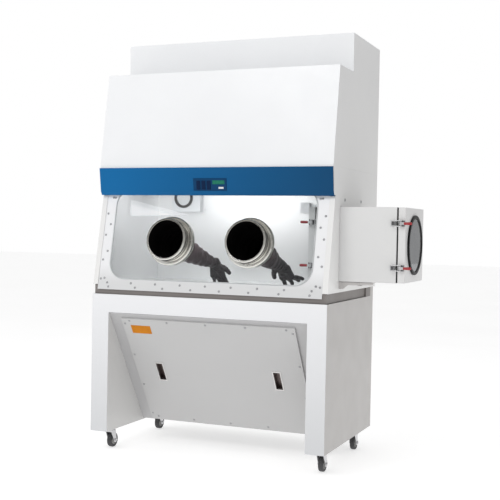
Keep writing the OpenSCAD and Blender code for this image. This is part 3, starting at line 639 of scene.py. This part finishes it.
def sleeve(name, side, path, seed):
    """Thin rubber sleeve: rolled bead in the port's mouth, along the bore, then gathered down to the wrist."""
    c = PORT_C[side]
    st = []
    for n_, r_ in ((0.0560, 0.0936), (0.0568, 0.0928), (0.0560, 0.0918), (0.0540, 0.0914), (0.040, 0.0912), (0.01, 0.0911), (-0.02, 0.0907), (-0.045, 0.0895)):
        q = c + OUT * n_
        st.append((q.x, q.y, q.z, r_))
    for q in path:
        st.append(q)
    # resample the arm part smoothly
    arm = st[7:]
    fine = [tuple(catmull(arm, i / 110)) for i in range(111)]
    allst = st[:7] + fine
    seg = 72
    rings = []
    prev_x = Vector((1, 0, 0))
    for i, (x, y, z, r) in enumerate(allst):
        a = allst[max(0, i - 1)]
        b = allst[min(len(allst) - 1, i + 1)]
        if i < 6:
            d = -OUT
        else:
            d = Vector((b[0] - a[0], b[1] - a[1], b[2] - a[2]))
            if d.length < 1e-6:
                d = -OUT
            d.normalize()
            if i < 16:
                w = (i - 6) / 10
                d = (-OUT).lerp(d, w).normalized()
        xx = (prev_x - d * prev_x.dot(d)).normalized()
        yy = d.cross(xx)
        prev_x = xx
        ring = []
        t = max(0, (i - 7)) / 110
        # folds: mostly across the arm near its bend, a few long ones along it, calmer at both ends
        amp = 0.0 if i < 8 else min(1, (i - 8) / 14) * min(1, (118 - i) / 10 + 0.15)
        for k in range(seg):
            th = 2 * math.pi * k / seg
            e = Vector((math.cos(th), math.sin(th), 0))
            cross = math.sin(t * 62 + 1.7 * math.sin(th + seed) + 2.3 * noise.noise(Vector((e.x * 1.3, e.y * 1.3, t * 5 + seed))))
            lump = noise.noise(Vector((e.x * 1.1 + seed, e.y * 1.1, t * 4.5)))
            longf = math.sin(3 * th + 4 * t + seed) * 0.6 + math.sin(7 * th - 3 * t + seed * 2) * 0.25
            fine_n = noise.noise(Vector((e.x * 4 + seed, e.y * 4, t * 26)))
            dr = amp * (0.0022 * max(-0.6, cross) + 0.0050 * lump + 0.0016 * longf + 0.0015 * fine_n)
            rr = r + dr * (0.5 + r / 0.08)
            # gravity makes the sleeve slightly deeper than wide
            p = Vector((x, y, z)) + xx * (math.cos(th) * rr) + yy * (math.sin(th) * rr)
            p.z -= amp * 0.004 * (1 + math.cos(math.pi * (2 * t - 1))) / 2 * (1 if p.z < z else 0.4)
            ring.append(OFF + p)
        rings.append(ring)
    bm = bmesh.new()
    loft(bm, rings)
    o = new_obj(name, bm, M["inside"])
    o.data.materials.append(M["sleeve"])
    s = o.modifiers.new("thick", "SOLIDIFY")
    s.thickness = 0.0009
    s.offset = -1
    s.material_offset = 1
    s.material_offset_rim = 1
    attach(o, "cabinet")
    return o


def capsule(bm, a, b, ra, rb, seg=20):
    """A tapered limb with round ends, as one closed form."""
    d = b - a
    l = d.length
    rot = basis(d)
    prof = [(0, -ra)]
    for i in range(1, 6):
        w = math.pi / 2 * i / 6
        prof.append((ra * math.sin(w), -ra * math.cos(w)))
    prof += [(ra, 0), ((ra + rb) / 2, l / 2), (rb, l)]
    for i in range(1, 6):
        w = math.pi / 2 * i / 6
        prof.append((rb * math.cos(w), l + rb * math.sin(w)))
    prof.append((0, l + rb))
    lathe(bm, prof, a, d, seg)


def hand(name, wrist, f, n, thumb, curls, thumb_at, thumb_len, thumb_dir, seed, stretch=1.0):
    """A relaxed rubber hand. f is the way it points, n is out of its back, thumb is +1 or -1 along f x n."""
    f = Vector(f).normalized()
    n = Vector(n)
    n = (n - f * n.dot(f)).normalized()
    s = f.cross(n) * thumb
    bm = bmesh.new()
    W = Vector(wrist)
    # forearm stub, wrist and palm
    capsule(bm, W - f * 0.018, W + f * 0.020, 0.0225, 0.0245)
    for k in (-1.5, -0.5, 0.5, 1.5):
        base = W + f * 0.018 + s * (k * 0.010)
        kn = W + f * (0.088 - 0.004 * abs(k - 0.5)) + s * (k * 0.0205) + n * (0.002 - 0.0022 * k * k)
        capsule(bm, base, kn, 0.0215, 0.0138)
    capsule(bm, W + f * 0.022 + s * 0.014 - n * 0.006, W + f * 0.052 + s * 0.020 - n * 0.008, 0.019, 0.014)
    # fingers, index first
    lens = [(0.044, 0.026, 0.021), (0.048, 0.029, 0.022), (0.045, 0.027, 0.021), (0.035, 0.021, 0.018)]
    for i, (k, ls, (c0, c1, c2, spread)) in enumerate(zip((1.5, 0.5, -0.5, -1.5), lens, curls)):
        p = W + f * (0.088 - 0.004 * abs(k - 0.5)) + s * (k * 0.0205) + n * (0.002 - 0.0022 * k * k)
        d = (f * math.cos(math.radians(c0)) - n * math.sin(math.radians(c0)))
        d = (d + s * spread).normalized()
        r = 0.0128 if i < 3 else 0.0112
        ang = c0
        for j, (l, c) in enumerate(zip(ls, (0, c1, c2))):
            ang += c
            d = (f * math.cos(math.radians(ang)) - n * math.sin(math.radians(ang)) + s * spread).normalized()
            q = p + d * l * stretch
            capsule(bm, p, q, r, r * 0.93)
            p, r = q, r * 0.93
    # thumb
    p = W + f * thumb_at[0] + s * thumb_at[1] + n * thumb_at[2]
    for d, l, r in zip(thumb_dir, thumb_len, (0.0165, 0.0138, 0.0124)):
        d = (f * d[0] + s * d[1] + n * d[2]).normalized()
        q = p + d * l
        capsule(bm, p, q, r, r * 0.9)
        p = q
    for v in bm.verts:
        v.co += OFF
    tmp = new_obj(name + "_raw", bm, None)
    rm = tmp.modifiers.new("r", "REMESH")
    rm.mode = "VOXEL"
    rm.voxel_size = 0.0021
    sm = tmp.modifiers.new("s", "SMOOTH")
    sm.factor = 0.6
    sm.iterations = 7
    dg = bpy.context.evaluated_depsgraph_get()
    me = bpy.data.meshes.new_from_object(tmp.evaluated_get(dg))
    bpy.data.objects.remove(tmp)
    me.name = name
    # wrinkles of loose rubber over the back and at the wrist
    me.update()
    nrm = [v.normal.copy() for v in me.vertices]
    for v, nn in zip(me.vertices, nrm):
        q = v.co - OFF - W
        along = q.dot(f)
        w = max(0.0, 1 - abs(along - 0.005) / 0.045)
        d = 0.0016 * w * math.sin(along * 520 + 3 * noise.noise(q * 30 + Vector((seed, 0, 0)))) + 0.0018 * noise.noise(q * 42 + Vector((seed, 3, 1)))
        v.co += nn * d
        if v.co.z < 0.8590:
            v.co.z = 0.8590 + (v.co.z - 0.8590) * 0.05
    o = bpy.data.objects.new(name, me)
    bpy.context.scene.collection.objects.link(o)
    me.materials.clear()
    me.materials.append(M["glove"])
    me.polygons.foreach_set("use_smooth", [True] * len(me.polygons))
    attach(o, "cabinet")
    return o


def cuff(name, c, d, r):
    """A rolled bead where the hand is bonded to the sleeve."""
    bm = bmesh.new()
    prof = [(r + 0.0026 * math.cos(2 * math.pi * i / 12), 0.0042 * math.sin(2 * math.pi * i / 12)) for i in range(12)]
    lathe(bm, prof, OFF + Vector(c), d, 48, closed=True)
    o = new_obj(name, bm, M["sleeve"])
    fix_normals(o)
    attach(o, "cabinet")
    return o


LW = Vector((-0.098, 0.350, 0.961))
RW = Vector((0.268, 0.354, 0.962))
ls = sleeve("sleeve_left", "left", [(-0.208, 0.118, 1.062, 0.080), (-0.195, 0.162, 1.041, 0.063), (-0.161, 0.236, 1.008, 0.046), (-0.127, 0.300, 0.980, 0.031), tuple(LW) + (0.0230,)], 1.3)
rs = sleeve("sleeve_right", "right", [(0.214, 0.118, 1.060, 0.080), (0.221, 0.165, 1.038, 0.063), (0.240, 0.250, 1.001, 0.047), (0.256, 0.311, 0.976, 0.033), tuple(RW) + (0.0240,)], 4.1)
LF, LN = Vector((-0.12, 0.62, -0.77)), Vector((0.0, 0.79, 0.60))
RF, RN = Vector((0.06, 0.74, -0.67)), Vector((0.0, 0.67, 0.74))
lh = hand("hand_left", LW + LF.normalized() * 0.004, LF, LN, 1, [(-18, 10, 14, 0.10), (-28, 10, 13, 0.02), (-30, 10, 14, -0.04), (-28, 10, 14, -0.10)],
          (0.004, 0.016, -0.006), (0.028, 0.023, 0.019), [(0.05, 0.97, -0.2), (0.3, 0.9, -0.3), (0.75, 0.6, -0.2)], 2.0, 0.93)
rh = hand("hand_right", RW + RF.normalized() * 0.004, RF, RN, -1, [(-18, 14, 16, 0.10), (-28, 12, 14, 0.0), (-34, 10, 12, -0.22), (-36, 8, 10, -0.52)],
          (0.006, 0.016, -0.006), (0.030, 0.022, 0.018), [(0.2, 0.92, -0.35), (0.8, 0.3, -0.5), (0.95, 0.0, -0.3)], 5.0, 0.93)
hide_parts("glove_left")
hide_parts("glove_right")
cuff("cuff_left", LW, LF, 0.0232)
cuff("cuff_right", RW, RF, 0.0240)


# ------------------------------------------------------------------ latches: red dipped grips over the steel levers
def grip(name, body, node, pivot, sx):
    bm = bmesh.new()
    rot_axis = Vector((sx, 0, 0))
    c = OFF + pivot + Vector((sx * 0.0185, -0.0075, 0))
    prof = [(0.0, 0.0), (0.0042, 0.0), (0.0056, 0.0006), (0.0062, 0.002), (0.0061, 0.006), (0.0063, 0.012), (0.0067, 0.020), (0.0068, 0.027),
            (0.0065, 0.0325), (0.0056, 0.0358), (0.0038, 0.0376), (0.0018, 0.0380), (0.0, 0.03805)]
    lathe(bm, prof, c, rot_axis, 32)
    o = new_obj(name, bm, M["red"])
    fix_normals(o)
    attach(o, body)


for z, w in ((1.183, "top"), (0.976, "low")):
    grip(f"grip_outer_{w}", f"lever_outer_{w}", f"lever_outer_{w}", Vector((0.920, 0.160, z)), 1)
    grip(f"grip_inner_{w}", f"lever_inner_{w}", f"lever_inner_{w}", Vector((0.490, 0.160, z)), -1)


# ------------------------------------------------------------------ wheels
def wheel(name, cx, cy):
    c = P(cx, cy + 0.025, 0.0375)
    ax = (1, 0, 0)
    bm = bmesh.new()
    prof = [(0.0243, -0.0118), (0.0335, -0.0122), (0.0358, -0.0112), (0.0370, -0.0088), (0.0375, -0.0050), (0.0375, -0.0012), (0.0371, -0.0008),
            (0.0371, 0.0008), (0.0375, 0.0012), (0.0375, 0.0050), (0.0370, 0.0088), (0.0358, 0.0112), (0.0335, 0.0122), (0.0243, 0.0118)]
    lathe(bm, prof, c, ax, 64, closed=True)
    t = new_obj("tyre_" + name, bm, M["tyre"])
    fix_normals(t)
    bm = bmesh.new()
    prof = [(0.0062, -0.0153), (0.0100, -0.0153), (0.0108, -0.0146), (0.0112, -0.0100), (0.0126, -0.0072), (0.0190, -0.0062), (0.0212, -0.0076), (0.0220, -0.0112),
            (0.0241, -0.0115), (0.0241, 0.0115), (0.0220, 0.0112), (0.0212, 0.0076), (0.0190, 0.0062), (0.0126, 0.0072), (0.0112, 0.0100), (0.0108, 0.0146),
            (0.0100, 0.0153), (0.0062, 0.0153)]
    lathe(bm, prof, c, ax, 48, closed=True)
    # ribs on both faces of the hub
    for i in range(6):
        a = math.pi * i / 3
        d = Vector((0, math.cos(a), math.sin(a)))
        rot = basis((1, 0, 0), d)
        for s in (-1, 1):
            rounded(bm, c + d * 0.0165 + Vector((s * 0.0075, 0, 0)), (0.0105, 0.0018, 0.0046), rot, 0.0005, 1)
    h = new_obj("hub_" + name, bm, M["hub"])
    fix_normals(h)
    weighted(h)
    for o in (t, h):
        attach(o, "wheel_" + name)
    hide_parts("wheel_" + name)
    # bearing race and axle nut ride on the fork
    bm = bmesh.new()
    for s in (-1, 1):
        prof = [(0.0, 0.0), (0.0095, 0.0), (0.0095, 0.0006)] + [(0.0085 / math.cos(math.pi / 6), 0.0010), (0.0085, 0.0042), (0.0072, 0.0050), (0.0, 0.0050)]
        lathe(bm, prof[:3] + [(0.0078, 0.0008), (0.0078, 0.0044), (0.0068, 0.0052), (0.0, 0.0052)], c + Vector((s * 0.0190, 0, 0)), (s, 0, 0), 6)
    a = new_obj("axle_nuts_" + name, bm, M["steel"], smooth=False)
    fix_normals(a)
    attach(a, "fork_" + name)
    # shield of the swivel race
    bm = bmesh.new()
    prof = [(0.0215, 0.0), (0.0262, 0.0), (0.0268, 0.0010), (0.0268, 0.0042), (0.0252, 0.0060), (0.0215, 0.0060)]
    lathe(bm, prof, P(cx, cy, 0.0895), (0, 0, 1), 48, closed=True)
    a = new_obj("race_" + name, bm, M["steel"])
    fix_normals(a)
    weighted(a)
    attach(a, "fork_" + name)


for nm, cx, cy in (("front_left", -0.575, 0.110), ("front_right", 0.575, 0.110), ("rear_left", -0.575, 0.630), ("rear_right", 0.575, 0.630)):
    wheel(nm, cx, cy)

# ------------------------------------------------------------------ keypad and plates
BA = math.atan(20 / 136)
BU = Vector((0, -math.sin(BA), math.cos(BA)))
BO = Vector((0, -math.cos(BA), -math.sin(BA)))
BB = Vector((0, 0.068, 1.306))
BROT = Matrix((Vector((1, 0, 0)), BU, BO)).transposed()


def plate(name, mat, x, s, w, h, n0, t, frame_b, r=0.0008):
    base, u, o_, rot = frame_b
    bm = bmesh.new()
    rounded(bm, OFF + base + Vector((x, 0, 0)) + u * s + o_ * (n0 + t / 2), (w, h, t), rot, r, 2)
    ob = new_obj(name, bm, mat)
    weighted(ob)
    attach(ob, "cabinet")
    return ob


band = (BB, BU, BO, BROT)
plate("lcd_lens", M["lcd"], 0.0410, 0.0640, 0.0640, 0.0185, 0.0023, 0.0006, band, 0.0002)
plate("label_blank", M["label"], 0.0540, 0.0370, 0.0270, 0.0092, 0.0023, 0.0003, band, 0.0001)
KROT = Matrix((Vector((1, 0, 0)), KU, KO)).transposed()
knee = (KB, KU, KO, KROT)
plate("plate_blank_orange", M["plate"], -0.365, 0.6175, 0.110, 0.049, 0.00005, 0.0006, knee, 0.0002)

# ------------------------------------------------------------------ stage: floor and light
bm = bmesh.new()
bmesh.ops.create_grid(bm, x_segments=1, y_segments=1, size=30)
floor = new_obj("floor", bm, None)
k = Mat("floor_pale")
k.set(Specular_IOR_Level=0.15, Emission_Strength=0.60, Emission_Color=(1, 1, 1, 1))
k.color(k.mix(k.ramp(k.noise(0.8, 3), 0, 1), (0.60, 0.60, 0.60), (0.63, 0.63, 0.63)))
k.rough(k.ramp(k.noise(3, 3), 0.7, 0.8))
floor.data.materials.append(k.m)
floor.location.z = -0.0005

world = bpy.data.worlds.new("w")
bpy.context.scene.world = world
world.use_nodes = True
wt = world.node_tree
bg = wt.nodes["Background"]
bg.inputs["Color"].default_value = (1, 1, 1, 1)
bg.inputs["Strength"].default_value = 0.55
back = wt.nodes.new("ShaderNodeBackground")
back.inputs["Color"].default_value = (1, 1, 1, 1)
back.inputs["Strength"].default_value = 1.0
path = wt.nodes.new("ShaderNodeLightPath")
wmix = wt.nodes.new("ShaderNodeMixShader")
wt.links.new(path.outputs["Is Camera Ray"], wmix.inputs[0])
wt.links.new(bg.outputs[0], wmix.inputs[1])
wt.links.new(back.outputs[0], wmix.inputs[2])
wt.links.new(wmix.outputs[0], wt.nodes["World Output"].inputs["Surface"])


def area(name, loc, target, size, power, col=(1, 1, 1), size_y=None):
    d = bpy.data.lights.new(name, "AREA")
    d.energy = power
    d.color = col
    d.shape = "RECTANGLE"
    d.size = size
    d.size_y = size_y or size
    o = bpy.data.objects.new(name, d)
    bpy.context.scene.collection.objects.link(o)
    o.location = P(*loc)
    o.rotation_euler = (P(*target) - o.location).to_track_quat("-Z", "Y").to_euler()
    return o


area("key", (-0.9, -4.6, 5.0), (0, 0.2, 1.1), 3.0, 98, (1, 0.998, 0.995), 2.2)
area("left", (-5.2, -1.2, 2.6), (-0.2, 0.3, 1.0), 2.4, 28)
area("rim", (0.5, 3.4, 4.2), (0, 0.5, 1.6), 3.0, 22)
area("chamber", (-0.1, 0.27, 1.385), (-0.1, 0.33, 0.9), 0.75, 1.95, (1.0, 0.985, 0.985), 0.2)
area("chamber_front", (-0.17, 0.115, 1.262), (-0.21, 0.62, 0.98), 0.6, 0.9, (1.0, 0.98, 0.985), 0.12)
area("pass_box", (0.70, 0.36, 1.235), (0.70, 0.36, 0.9), 0.25, 0.9, (1.0, 1.0, 1.0), 0.2)

bpy.context.scene.view_settings.view_transform = "Standard"
